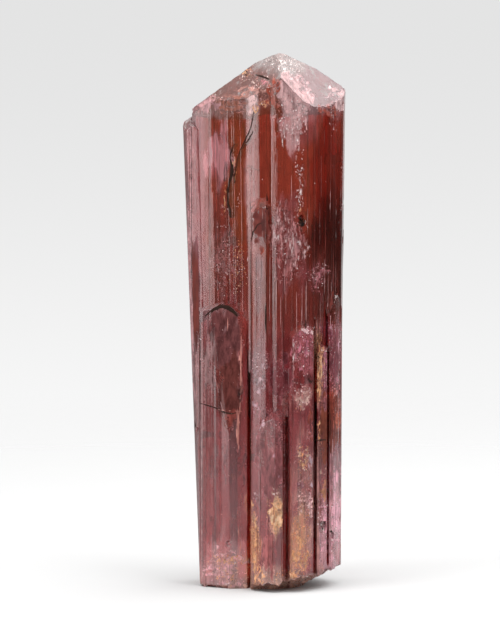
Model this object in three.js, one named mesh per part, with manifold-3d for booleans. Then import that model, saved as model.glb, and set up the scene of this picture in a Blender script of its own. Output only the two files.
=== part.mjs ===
// Rough elbaite tourmaline: one tall, striated prism of gem crystal that stands on its broken base.
// It is one natural piece. Smaller crystals of the same direction have grown into its sides, each with
// a pointed top of its own, and all of them end below in one uneven break.
//
// Millimetres. +Z is the long axis, the broad striated front looks towards -Y, and +X is to its right.
// The shape is drawn around the long axis through the summit, and moved at the end so that the origin
// is at the centre of the box, on the surface that the crystal stands on.
// An azimuth is the direction that a face looks in, in degrees: 0 is the front, positive is to the right.
import * as THREE from "three";
import { mergeVertices } from "three/addons/utils/BufferGeometryUtils.js";
import Module from "manifold-3d";

const wasm = await Module();
wasm.setup();

const HEIGHT = 89; // base to summit
const BELOW = 3; // how far each prism is drawn below the break that ends it
const FAR = 120; // larger than the crystal in every direction

// The three large faces of the point. A slope is the fall over the distance from the summit.
const POINT_FACES = [
  { azimuth: -51, slope: 1.53 },
  { azimuth: 52, slope: 1.48 },
  { azimuth: 184, slope: 1.32 },
];
// Three small, flat faces blunt the edges between them and the very tip.
const CAP_FACES = [
  { azimuth: -116, slope: 0.36 },
  { azimuth: 4, slope: 0.5 },
  { azimuth: 124, slope: 0.38 },
];
const VIRTUAL_TIP = 1.3; // the large faces would meet this far above the summit
const SUMMIT = [0.2, 0];

// Striations: ribs along the length of the broader sides, each rising a little and then stepping back.
const RIBBED_SIDE = 4.1; // sides narrower than this stay smooth
const RIB_NARROW = 0.4;
const RIB_WIDE = 2.2;
const RIB_STEP = 0.16;
const RIB_RISE = 0.16;

// The main prism's corners at the level of the summit, anticlockwise from the left back corner.
const MAIN = {
  corners: [
    [-14.8, 7.2],
    [-14.7, 6.2],
    [-11.3, 4.4],
    [-5.5, -2.2],
    [-3.3, -3.3],
    [-1.3, -5.4],
    [-0.5, -5.8],
    [4.0, -5.2],
    [5.8, -4.0],
    [8.4, -0.6],
    [11.0, 4.4],
    [11.3, 5.8],
    [10.2, 7.6],
    [4.5, 8.9],
    [-3.0, 9.3],
    [-9.5, 8.9],
    [-13.6, 8.2],
  ],
  top: HEIGHT,
  taper: 0.12,
  about: [2.5, 0],
};

// Smaller crystals grown into the main one. Corners are at the level of their own top, and tip is the
// point where their three end faces meet. The end faces look the same ways as the main ones, and steep
// is their slope as a share of those. A flat is one more face, cut through a point of the surface.
const GROWN_IN = [
  {
    place: "left front, broad",
    corners: [
      [-12.6, 6.4],
      [-13.2, 4.6],
      [-13.1, 0.3],
      [-8.2, -2.4],
      [-5.2, -2.0],
      [-4.9, -0.4],
      [-6.5, 3.0],
    ],
    tip: [-9.2, -0.6, 47.9],
    steep: 0.5,
    taper: 0.04,
    about: [-5, 2],
    flat: { point: [-8.2, -2.4, 24.4], azimuth: -10, tilt: 2.8 },
  },
  {
    place: "left of the middle, tall and narrow",
    corners: [
      [-4.5, 0],
      [-4.6, -4.4],
      [-4.3, -4.8],
      [-2.1, -5.9],
      [-0.9, -4.9],
      [-1.2, 0],
    ],
    tip: [-2.1, -3.0, 66.3],
    steep: 0.8,
    taper: 0.0,
    about: [-3, -3],
  },
  {
    place: "middle, short",
    corners: [
      [-2.8, -2],
      [-2.9, -6.0],
      [-0.6, -7.2],
      [0.7, -6.4],
      [0.9, -2],
    ],
    tip: [-0.9, -5.0, 30.2],
    steep: 0.6,
    taper: 0.0,
    about: [-1, -5],
  },
  {
    place: "right of the middle",
    corners: [
      [1.9, -2],
      [1.8, -6.4],
      [2.2, -6.8],
      [4.3, -6.6],
      [5.8, -5.4],
      [5.9, -2],
    ],
    tip: [3.6, -4.4, 44.8],
    steep: 0.6,
    taper: 0.0,
    about: [4, -4],
  },
  {
    place: "right front, narrow",
    corners: [
      [6.2, -1],
      [6.4, -4.2],
      [8.2, -2.6],
      [8.2, 0],
    ],
    tip: [7.0, -2.2, 41.0],
    steep: 0.8,
    taper: 0.02,
    about: [6, -2],
  },
  {
    place: "right edge",
    corners: [
      [8.0, 1],
      [8.3, -2.0],
      [8.9, -1.8],
      [10.7, 3.0],
      [10.5, 4.4],
      [8.4, 4.6],
    ],
    tip: [9.4, 0.6, 49.0],
    steep: 0.8,
    taper: 0.05,
    about: [5, 2],
  },
  {
    place: "left edge, a thin slab",
    corners: [
      [-13.2, 9.2],
      [-15.5, 8.8],
      [-16.0, 7.6],
      [-15.4, 6.1],
      [-13.6, 5.4],
    ],
    tip: [-14.2, 7.4, 78.5],
    steep: 0.9,
    taper: 0.2,
    about: [0, 2],
  },
  {
    place: "back, tall",
    corners: [
      [9.0, 5.0],
      [9.6, 8.1],
      [7.6, 9.9],
      [4.2, 10.3],
      [3.4, 6.0],
    ],
    tip: [6.4, 7.6, 73],
    steep: 0.8,
    taper: 0.06,
    about: [3, 5],
  },
  {
    place: "back, low",
    corners: [
      [3.0, 5.0],
      [3.1, 9.5],
      [1.0, 10.5],
      [-1.6, 10.1],
      [-2.0, 5.0],
    ],
    tip: [0.6, 8.4, 35.5],
    steep: 0.7,
    taper: 0.03,
    about: [0, 5],
  },
  {
    place: "back, middle height",
    corners: [
      [-2.5, 5.0],
      [-2.5, 9.6],
      [-4.6, 10.6],
      [-7.6, 10.2],
      [-8.7, 8.8],
      [-8.0, 5.0],
    ],
    tip: [-5.2, 8.2, 59],
    steep: 0.8,
    taper: 0.05,
    about: [-2, 5],
  },
  {
    place: "left back, low",
    corners: [
      [-8.9, 4.0],
      [-8.7, 9.2],
      [-10.6, 9.6],
      [-12.6, 8.3],
      [-12.2, 4.0],
    ],
    tip: [-10.4, 7.4, 26],
    steep: 0.6,
    taper: 0.04,
    about: [-8, 5],
  },
];

// Deep clefts between neighbours on the front: a V cut to depth, wide at the surface.
const CLEFTS = [
  { x: -4.85, surface: -2.9, width: 0.7, depth: 2.4, low: -BELOW, high: 36 },
  { x: 1.35, surface: -5.9, width: 0.9, depth: 1.9, low: -BELOW, high: 29 },
  { x: 6.05, surface: -4.6, width: 0.6, depth: 2.2, low: -BELOW, high: 45 },
  { x: 8.25, surface: -1.9, width: 0.4, depth: 1.3, low: 4, high: 40 },
];

// Small breaks out of the edges and faces: centre, and half size along each axis.
const CHIPS = [
  { at: [-14.9, 6.8, 78.6], size: [0.9, 0.9, 1.5] },
  { at: [-6.2, 5.2, 85.9], size: [1.5, 1.2, 0.7] },
  { at: [2.6, -0.4, 88.6], size: [1.3, 1.1, 0.6] },
  { at: [11.6, 5.4, 64.2], size: [0.7, 0.9, 1.3] },
  { at: [11.3, 5.0, 57.4], size: [0.6, 0.7, 0.9] },
  { at: [11.7, 6.4, 84.2], size: [1.3, 1.5, 1.7] },
  { at: [3.8, -5.6, 61.4], size: [0.5, 0.8, 1.3] },
  { at: [7.4, -3.4, 10.4], size: [0.7, 0.8, 1.1] },
  { at: [9.2, -1.3, 8.6], size: [0.6, 0.7, 0.8] },
  { at: [-9.0, -2.6, 7.5], size: [1.1, 0.6, 0.8] },
  { at: [-6.3, -2.5, 33.0], size: [0.5, 0.7, 1.6] },
  { at: [6.4, 10.6, 50.0], size: [1.2, 0.8, 1.8] },
  { at: [-7.9, 10.3, 30.0], size: [1.1, 0.9, 1.4] },
  { at: [-14.2, 8.9, 44.0], size: [0.8, 0.8, 1.7] },
  { at: [-13.9, 5.4, 25.6], size: [0.6, 0.6, 1.9] },
];

// The break at the base: how high the rim stands along the front, as [x, height], and the oval that touches.
const RIM = [
  [-14, 0.1],
  [-5.6, 0.5],
  [-4.7, 1.1],
  [0, 1.3],
  [1.4, 1.9],
  [4.3, 2.6],
  [8.3, 3.1],
  [11, 3.5],
];
const FOOT = { centre: [-3.7, 2.6], half: [7.6, 5.4] };
const BREAK_SLOPE = 0.75; // how steeply the break rises outside the foot
const BREAK_SINK = 0.6; // how far below the surface it passes inside the foot
const BREAK_CELL = 0.95; // size of its facets
const BREAK_ROUGH = 0.45; // height of its lumps
const BREAK_REACH = 40; // wider than the crystal
const BREAK_THICK = 12; // how far down the material below the break goes

const radians = THREE.MathUtils.degToRad;

/** A repeatable number from 0 to 1 for each key. */
function chance(key) {
  const wave = Math.sin(key * 12.9898 + 4.1414) * 43758.5453;
  return wave - Math.floor(wave);
}

/** The closed solid that a three.js geometry bounds. */
function solidOf(geometry) {
  const bare = geometry.index ? geometry.toNonIndexed() : geometry.clone();
  bare.deleteAttribute("normal");
  bare.deleteAttribute("uv");
  const merged = mergeVertices(bare, 1e-4);
  return new wasm.Manifold(
    new wasm.Mesh({
      numProp: 3,
      vertProperties: merged.attributes.position.array,
      triVerts: new Uint32Array(merged.index.array),
    }),
  );
}

/** The three.js geometry of a solid. */
function geometryOf(solid) {
  const { vertProperties, triVerts } = solid.getMesh();
  const geometry = new THREE.BufferGeometry();
  geometry.setAttribute(
    "position",
    new THREE.BufferAttribute(new Float32Array(vertProperties), 3),
  );
  geometry.setIndex(new THREE.BufferAttribute(new Uint32Array(triVerts), 1));
  return geometry;
}

/** The unit vector of an azimuth, tilted up from level, in degrees. */
function facing(azimuth, tilt) {
  const level = Math.cos(radians(tilt));
  return new THREE.Vector3(
    Math.sin(radians(azimuth)) * level,
    -Math.cos(radians(azimuth)) * level,
    Math.sin(radians(tilt)),
  );
}

/** Everything on the outer side of the plane through a point, as a solid to cut with. */
function beyond(point, normal) {
  const turn = new THREE.Quaternion().setFromUnitVectors(
    new THREE.Vector3(0, 0, 1),
    normal,
  );
  const block = new THREE.BoxGeometry(2 * FAR, 2 * FAR, FAR)
    .translate(0, 0, FAR / 2)
    .applyQuaternion(turn)
    .translate(...point);
  return solidOf(block);
}

/** Cuts a solid to a point with faces that fall away from the tip. */
function pointed(solid, tip, faces, steep = 1) {
  return faces.reduce((rest, { azimuth, slope }) => {
    const tilt = THREE.MathUtils.radToDeg(Math.atan(1 / (slope * steep)));
    return rest.subtract(beyond(tip, facing(azimuth, tilt)));
  }, solid);
}

/** The width of one rib: many are narrow and a few are wide. */
function ribWidth(seed) {
  return RIB_NARROW + (RIB_WIDE - RIB_NARROW) * chance(seed) ** 2;
}

/** An outline's corners with ribs between them. */
function striated(corners, key) {
  const line = corners.map(([x, y]) => new THREE.Vector2(x, y));
  const ribbed = [];
  line.forEach((corner, side) => {
    const along = line[(side + 1) % line.length].clone().sub(corner);
    const outward = new THREE.Vector2(along.y, -along.x).normalize();
    const length = along.length();
    const at = (distance, rise) =>
      corner
        .clone()
        .addScaledVector(along, distance / length)
        .addScaledVector(outward, rise);
    ribbed.push(corner);
    if (length < RIBBED_SIDE) return;
    let seed = key * 101 + side * 17;
    let reached = ribWidth(seed);
    while (reached < length - RIB_NARROW) {
      ribbed.push(at(reached, RIB_RISE * chance(seed + 0.5)));
      ribbed.push(at(reached + RIB_STEP, 0));
      seed += 1;
      reached += ribWidth(seed);
    }
  });
  return ribbed;
}

/** A striated prism from below the base up to its top, narrower towards the base. */
function prism({ corners, top, taper, about }, key) {
  const outline = new THREE.Shape(striated(corners, key));
  const geometry = new THREE.ExtrudeGeometry(outline, {
    depth: top + BELOW,
    bevelEnabled: false,
    steps: 1,
  }).translate(0, 0, -BELOW);
  const position = geometry.attributes.position;
  for (let i = 0; i < position.count; i++) {
    const share = 1 - (taper * (top - position.getZ(i))) / HEIGHT;
    position.setX(i, about[0] + (position.getX(i) - about[0]) * share);
    position.setY(i, about[1] + (position.getY(i) - about[1]) * share);
  }
  return solidOf(geometry);
}

/** The large crystal with its blunted point. */
function mainCrystal() {
  const tip = [...SUMMIT, HEIGHT + VIRTUAL_TIP];
  const large = pointed(prism(MAIN, 1), tip, POINT_FACES);
  return pointed(large, [...SUMMIT, HEIGHT], CAP_FACES);
}

/** One of the smaller crystals grown into it. */
function grownIn(crystal, index) {
  const { tip, steep, flat } = crystal;
  const body = prism({ ...crystal, top: tip[2] }, index + 2);
  const ended = pointed(body, tip, POINT_FACES, steep);
  return flat
    ? ended.subtract(beyond(flat.point, facing(flat.azimuth, flat.tilt)))
    : ended;
}

/** The V that a cleft takes out of the front. */
function cleft({ x, surface, width, depth, low, high }) {
  const outside = surface - depth;
  const wedge = new THREE.Shape([
    new THREE.Vector2(x - width / 2, outside),
    new THREE.Vector2(x + width / 2, outside),
    new THREE.Vector2(x + width / 2, surface),
    new THREE.Vector2(x, surface + depth),
    new THREE.Vector2(x - width / 2, surface),
  ]);
  const geometry = new THREE.ExtrudeGeometry(wedge, {
    depth: high - low,
    bevelEnabled: false,
  }).translate(0, 0, low);
  return solidOf(geometry);
}

/** A faceted lump that a chip takes away. */
function chip({ at, size }, index) {
  const lump = new THREE.IcosahedronGeometry(1, 1)
    .scale(...size)
    .rotateZ(index)
    .rotateX(index * 0.37)
    .translate(...at);
  return solidOf(lump);
}

/** How high the rim of the break stands at a place along the front. */
function rimHeight(x) {
  const next = RIM.findIndex(([place]) => place > x);
  if (next === 0) return RIM[0][1];
  if (next < 0) return RIM[RIM.length - 1][1];
  const [[x0, z0], [x1, z1]] = [RIM[next - 1], RIM[next]];
  return z0 + ((z1 - z0) * (x - x0)) / (x1 - x0);
}

/** The height of the break: below the surface within the foot, and rising to the rim outside it. */
function breakHeight(x, y) {
  const { centre, half } = FOOT;
  const across = Math.hypot(
    (x - centre[0]) / half[0],
    (y - centre[1]) / half[1],
  );
  const outside = (across - 1) * half[1];
  if (outside < 0) return -BREAK_SINK;
  const cell = Math.round(x / BREAK_CELL) * 31 + Math.round(y / BREAK_CELL) * 57;
  const lump = BREAK_ROUGH * (chance(cell) - 0.5) * (1 + outside / 4);
  return Math.min(rimHeight(x), outside * BREAK_SLOPE) + lump;
}

/** Everything below the break, as a solid to cut with. */
function brokenAway() {
  const cells = Math.round(BREAK_REACH / BREAK_CELL);
  const block = new THREE.BoxGeometry(
    BREAK_REACH,
    BREAK_REACH,
    BREAK_THICK,
    cells,
    cells,
    1,
  );
  const position = block.attributes.position;
  for (let i = 0; i < position.count; i++) {
    const onTop = position.getZ(i) > 0;
    const height = breakHeight(position.getX(i), position.getY(i));
    position.setZ(i, onTop ? height : -BREAK_THICK);
  }
  return solidOf(block);
}

/** The whole crystal, around the long axis through its summit. */
function crystal() {
  const whole = GROWN_IN.map(grownIn).reduce(
    (joined, next) => joined.add(next),
    mainCrystal(),
  );
  const cuts = [
    ...CLEFTS.map(cleft),
    ...CHIPS.map(chip),
    brokenAway(),
    beyond([0, 0, 0], new THREE.Vector3(0, 0, -1)),
  ];
  return cuts.reduce((rest, cut) => rest.subtract(cut), whole);
}

const gem = new THREE.MeshStandardMaterial({
  color: 0x9c4a48,
  roughness: 0.12,
  metalness: 0,
});

const mesh = new THREE.Mesh(geometryOf(crystal()), gem);
mesh.name = "tourmaline_crystal";
mesh.geometry.computeBoundingBox();
const middle = mesh.geometry.boundingBox.getCenter(new THREE.Vector3());
mesh.position.set(-middle.x, -middle.y, 0);

const tourmaline = new THREE.Group();
tourmaline.add(mesh);

export default tourmaline;
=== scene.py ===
"""The looks of a rough elbaite tourmaline crystal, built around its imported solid.

Everything is in metres, in the solid's frame: +Z up the crystal, -Y towards its broad striated front and
+X to that front's right. A place on the front is given in millimetres as (across, up): across is measured
from the summit, positive to the right, and up from the surface that the crystal stands on.
"""
import math
import random

import bmesh  # noqa: E402
import bpy  # noqa: E402
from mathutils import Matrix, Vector, noise  # noqa: E402
from mathutils.bvhtree import BVHTree  # noqa: E402

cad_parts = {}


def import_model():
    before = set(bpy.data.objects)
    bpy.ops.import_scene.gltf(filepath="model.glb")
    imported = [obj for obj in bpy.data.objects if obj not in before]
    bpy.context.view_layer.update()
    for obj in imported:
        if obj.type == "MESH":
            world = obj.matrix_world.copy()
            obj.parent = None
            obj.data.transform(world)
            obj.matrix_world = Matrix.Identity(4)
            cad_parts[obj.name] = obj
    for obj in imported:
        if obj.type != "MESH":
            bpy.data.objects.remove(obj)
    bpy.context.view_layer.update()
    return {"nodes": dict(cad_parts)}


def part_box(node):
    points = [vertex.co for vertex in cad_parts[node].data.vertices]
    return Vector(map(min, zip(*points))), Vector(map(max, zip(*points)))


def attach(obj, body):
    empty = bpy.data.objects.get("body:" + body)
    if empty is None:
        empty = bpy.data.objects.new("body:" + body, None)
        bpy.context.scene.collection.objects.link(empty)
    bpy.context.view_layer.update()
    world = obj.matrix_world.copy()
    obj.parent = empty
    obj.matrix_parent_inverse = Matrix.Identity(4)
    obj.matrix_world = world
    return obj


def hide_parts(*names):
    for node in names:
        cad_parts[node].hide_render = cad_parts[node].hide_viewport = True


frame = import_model()

MM = 0.001
HUNDRED = 100  # the tables give colours, shares and fine widths in hundredths
NODE = "tourmaline_crystal"
BODY = "root"

low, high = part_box(NODE)
source = frame["nodes"][NODE]
summit = max((vertex.co for vertex in source.data.vertices), key=lambda co: co.z)
SUMMIT_X = summit.x

# Camera. The view is nearly level, and the photograph's scale is 6 pixels to the millimetre.
PIXELS_PER_MM = 6.0
IMAGE_HIGH = 640
SENSOR_MM = 36.0
CAMERA_DISTANCE = 0.6
CAMERA_RISE = math.radians(4.5)
CLIP = (0.01, 20)
AIM = Vector((-2.35 * MM, 0, 44.6 * MM))


def placed(name, data):
    """A new object in the scene."""
    thing = bpy.data.objects.new(name, data)
    bpy.context.scene.collection.objects.link(thing)
    return thing


def camera():
    """The view of the photograph."""
    data = bpy.data.cameras.new("camera")
    data.sensor_width = SENSOR_MM
    data.lens = CAMERA_DISTANCE / MM * PIXELS_PER_MM * SENSOR_MM / IMAGE_HIGH
    data.clip_start, data.clip_end = CLIP
    thing = placed("camera", data)
    back = Vector((0, -math.cos(CAMERA_RISE), math.sin(CAMERA_RISE)))
    thing.location = AIM + CAMERA_DISTANCE * back
    thing.rotation_euler = (math.pi / 2 - CAMERA_RISE, 0, 0)
    bpy.context.scene.camera = thing


class Graph:
    """Short ways to add and join shader nodes."""

    def __init__(self, tree):
        self.tree = tree
        tree.nodes.clear()

    def add(self, kind, inputs=(), **settings):
        """A node with settings, and with inputs that are values or other nodes' outputs."""
        node = self.tree.nodes.new(kind)
        for name, value in settings.items():
            setattr(node, name, value)
        for key, value in dict(inputs).items():
            self.feed(node.inputs[key], value)
        return node

    def feed(self, socket, value):
        if isinstance(value, bpy.types.NodeSocket):
            self.tree.links.new(value, socket)
        else:
            socket.default_value = value

    def math(self, operation, first, second=0.0, third=0.0):
        node = self.add("ShaderNodeMath", operation=operation)
        for socket, value in zip(node.inputs, (first, second, third)):
            self.feed(socket, value)
        return node.outputs[0]

    def between(self, value, start, end, low=0.0, high=1.0):
        """A value carried smoothly from start..end to low..high."""
        inputs = {"Value": value, "From Min": start, "From Max": end, "To Min": low, "To Max": high}
        return self.add("ShaderNodeMapRange", inputs, interpolation_type="SMOOTHSTEP").outputs[0]

    def mix(self, share, first, second):
        """A mix of two colours."""
        node = self.add("ShaderNodeMix", data_type="RGBA")
        for socket, value in ((0, share), (6, first), (7, second)):
            self.feed(node.inputs[socket], value)
        return node.outputs[2]

    def times(self, vector, scale):
        """A place times three numbers, or a colour times one."""
        return self.add("ShaderNodeVectorMath", {0: vector, 1: scale}, operation="MULTIPLY").outputs[0]

    def noise(self, place, stretch, scale, detail, roughness):
        """Noise that is finer along the axes with more stretch."""
        vector = self.times(place, stretch)
        inputs = {"Vector": vector, "Scale": scale, "Detail": detail, "Roughness": roughness}
        return self.add("ShaderNodeTexNoise", inputs).outputs[0]

    def bump(self, height, strength, distance):
        inputs = {"Strength": strength, "Distance": distance, "Height": height}
        return self.add("ShaderNodeBump", inputs).outputs[0]

    def attribute(self, name):
        """What is stored on the mesh under a name."""
        return self.add("ShaderNodeAttribute", attribute_name=name).outputs

    def millimetres(self):
        """The place on the piece, in millimetres."""
        return self.times(self.add("ShaderNodeTexCoord").outputs["Object"], (1 / MM,) * 3)

    def finish(self, shader, inputs, **outputs):
        """Ends the graph with a shader of a kind."""
        surface = self.add(shader, inputs).outputs[0]
        self.add("ShaderNodeOutputMaterial", {"Surface": surface, **outputs})


def new_material(name):
    """A material, and the graph that makes its look."""
    material = bpy.data.materials.new(name)
    material.use_nodes = True
    return material, Graph(material.node_tree)


# The studio's brightness: a range of directions, and the values at its two ends. The camera sees a backdrop
# that dims upwards, and the crystal a sky that is brighter behind and overhead.
BACKDROP = (-0.168, 0.012, 1.0, 0.775)
BEHIND = (0.6, 0.95, 0.05, 0.9)
OVERHEAD = (0.3, 0.75, 0.0, 0.8)


def world():
    """A pale backdrop for the camera, and a sky for the light."""
    shown = bpy.data.worlds.new("studio")
    bpy.context.scene.world = shown
    shown.use_nodes = True
    g = Graph(shown.node_tree)
    direction = g.add("ShaderNodeTexCoord").outputs["Generated"]
    _, away, up = g.add("ShaderNodeSeparateXYZ", {"Vector": direction}).outputs
    light = g.math("ADD", g.between(away, *BEHIND), g.between(up, *OVERHEAD))
    seen = g.add("ShaderNodeLightPath").outputs["Is Camera Ray"]
    both = g.mix(seen, light, g.between(up, *BACKDROP))
    background = g.add("ShaderNodeBackground", {"Color": both, "Strength": 1.0})
    g.add("ShaderNodeOutputWorld", {"Surface": background.outputs[0]})


# Lights: azimuth (0 is the front, positive to the right), elevation, distance, width, height and radiance.
SOFTBOXES = {
    "left_softbox": (-54, 6, 0.55, 0.22, 0.8, 2.5),
    "left_upper": (-54, 30, 0.62, 0.26, 0.5, 1.6),
    "right_sheen": (121, 33, 0.6, 0.5, 0.5, 2.2),
    "high_fill": (0, 78, 0.6, 0.9, 0.4, 3.6),
    "front_right": (60, 48, 0.7, 0.5, 0.5, 2.6),
}
LIT = Vector((0, 0, 45 * MM))  # the place that the lights face


def softbox(name, azimuth, elevation, distance, wide, tall, radiance):
    """A rectangular light that the camera doesn't see."""
    data = bpy.data.lights.new(name, "AREA")
    data.shape = "RECTANGLE"
    data.size, data.size_y = wide, tall
    data.energy = radiance * math.pi * wide * tall
    thing = placed(name, data)
    turn, rise = math.radians(azimuth), math.radians(elevation)
    out = Vector((math.sin(turn) * math.cos(rise), -math.cos(turn) * math.cos(rise), math.sin(rise)))
    thing.location = LIT + distance * out
    thing.rotation_euler = out.to_track_quat("Z", "Y").to_euler()
    thing.visible_camera = False


FLOOR_REACH = 0.6
FLOOR_CELLS = 8
FLOOR_FADE = (0.03, 0.34)  # how far out it is whole, and where it is gone
FLOOR_PALE = (0.55, 0.55, 0.55, 1)


def floor():
    """A pale floor that fades into the backdrop."""
    bpy.ops.mesh.primitive_grid_add(
        size=2 * FLOOR_REACH, x_subdivisions=FLOOR_CELLS, y_subdivisions=FLOOR_CELLS
    )
    plane = bpy.context.object
    plane.name = "studio_floor"
    material, g = new_material("studio_floor")
    place = g.add("ShaderNodeTexCoord").outputs["Object"]
    far = g.add("ShaderNodeVectorMath", {0: place}, operation="LENGTH").outputs["Value"]
    pale = g.add("ShaderNodeBsdfDiffuse", {"Color": FLOOR_PALE}).outputs[0]
    clear = g.add("ShaderNodeBsdfTransparent").outputs[0]
    g.finish("ShaderNodeMixShader", {0: g.between(far, *FLOOR_FADE), 1: pale, 2: clear})
    plane.data.materials.append(material)


# The crystal's fine surface: the sizes of the cells that its faces are cut into.
CELL = (0.35 * MM, 0.4 * MM, 1.0 * MM)
WELD = 0.001 * MM
ON_PLANE = 0.0001 * MM
SHARP = math.radians(16)

# Relief, in millimetres. Everything is cut into the solid, so that the crystal keeps its size.
STRIATION_DEEP = 0.002
CHIP_DEEP = 0.45
ETCH_DEEP = 0.07
BREAK_DEEP = 0.35
FOOT_FLAT = 0.02  # lower than this is the face that it stands on
BREAK_BELOW = -0.3  # a face whose normal rises less is part of the break
TOP_ABOVE = 0.35  # and one whose normal rises more is an etched top
# The waves of each relief: scale across and up, seed and share.
LUMPS = [(1.7, 1.7, 0, 1), (0.6, 0.6, 40, 0.5)]
TERRACES = [(1.1, 1.1, 7, 1), (0.45, 0.45, 19, 0.6)]
RIBS = [(0.8, 160, 0, 0.6), (0.4, 90, 31, 0.4)]
CHIPS = [(1.2, 1.6, 90, 1), (0.5, 0.7, 12, 0.5)]


def wave(co, across, up, seed=0.0):
    """Soft noise from -1 to 1, with its scales across and up in millimetres."""
    return noise.noise(Vector((co.x / MM / across + seed, co.y / MM / across, co.z / MM / up)))


def waves(co, parts):
    """The sum of some waves at a point."""
    return sum(share * wave(co, across, up, seed) for across, up, seed, share in parts)


def finely_cut():
    """The solid's mesh, cut along all three axes so that its faces can carry relief."""
    mesh = bmesh.new()
    mesh.from_mesh(source.data)
    bmesh.ops.remove_doubles(mesh, verts=mesh.verts, dist=WELD)
    for axis in (2, 0, 1):
        normal = Vector((0, 0, 0))
        normal[axis] = 1
        level = low[axis] + CELL[axis] / 2
        while level < high[axis]:
            geometry = mesh.verts[:] + mesh.edges[:] + mesh.faces[:]
            bmesh.ops.bisect_plane(
                mesh, geom=geometry, dist=ON_PLANE, plane_co=normal * level, plane_no=normal
            )
            level += CELL[axis]
    mesh.normal_update()
    return mesh


def on_edge(vertex):
    """Whether a vertex lies on an edge where two faces of the crystal meet."""
    return any(len(edge.link_faces) == 2 and edge.calc_face_angle(0) > SHARP for edge in vertex.link_edges)


def depth_of_relief(vertex):
    """How far a vertex goes into the crystal, in millimetres."""
    co, rise = vertex.co, vertex.normal.z
    if co.z < FOOT_FLAT * MM:
        return 0.0
    if rise < BREAK_BELOW:
        return BREAK_DEEP * max(0.0, 0.5 + waves(co, LUMPS) * 0.6)
    if rise > TOP_ABOVE:
        return ETCH_DEEP * max(0.0, 0.4 + waves(co, TERRACES))
    depth = STRIATION_DEEP * (0.5 + waves(co, RIBS))
    if on_edge(vertex):
        depth += CHIP_DEEP * max(0.0, waves(co, CHIPS) - 0.35)
    return depth


def carve(mesh):
    """Cuts striations, etch pits, chips and the hackly break into the surface."""
    depths = [depth_of_relief(vertex) for vertex in mesh.verts]
    normals = [vertex.normal.copy() for vertex in mesh.verts]
    for vertex, depth, normal in zip(mesh.verts, depths, normals):
        vertex.co -= normal * depth * MM


# The body's upper and lower colour, and the heights between which they change.
UPPER = (0.46, 0.10, 0.055)
LOWER = (0.42, 0.12, 0.13)
UPPER_ENDS = (52, 38)
UPPER_RAGGED = 5
# Colour zones, painted in this order: place (across, up), half size, and colour and strength in hundredths.
ZONES = [
    # Pink down the left edge: partly the slab's own colour, partly a painted sheen of that edge.
    (-14.2, 60, 2.2, 34, 52, 24, 26, 85),
    (-13.2, 30, 2.4, 20, 34, 13, 13, 70),
    (-7, 69, 2.2, 13, 46, 10, 3.5, 80),
    (-9.9, 71.5, 1.8, 4.6, 56, 22, 24, 90),
    (-9.8, 62, 1.8, 4.6, 36, 8, 6, 80),
    (-4.7, 70, 1, 18, 85, 48, 46, 90),
    (-2.4, 68, 1.5, 16, 42, 7.5, 4, 80),
    (8.4, 62, 3.2, 20, 34, 3, 1.4, 95),
    (8, 55, 4.2, 10, 9, 1, 0.5, 95),
    (3, 50, 6, 8, 24, 6, 4.5, 70),
    (3.3, 78, 2.6, 4, 50, 20, 19, 70),
    (1.6, 58, 2.8, 6.5, 30, 10, 10, 70),
    (-8.5, 53, 3, 6.5, 26, 7, 6, 70),
    (-2.7, 60.5, 1.7, 3.4, 14, 3.5, 3, 85),
    (-8.8, 37, 2.8, 9.5, 24, 6, 5, 85),
    (1, 36, 5, 7, 28, 7, 7, 70),
    (7.4, 26, 1.4, 6, 28, 8, 6, 80),
    (9.4, 16, 1.4, 12, 56, 26, 30, 80),
    (9.4, 28, 1.4, 4, 36, 8, 5, 80),
    (-9, 4, 4.2, 4.5, 60, 28, 28, 80),
    (-2, 0.6, 15, 2.6, 75, 42, 34, 85),
    (-8, 84, 8, 4.5, 50, 24, 21, 90),
    (6.5, 84, 6.5, 5, 74, 46, 48, 90),
    (0.5, 87.5, 4, 2.4, 90, 76, 73, 90),
]
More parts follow.
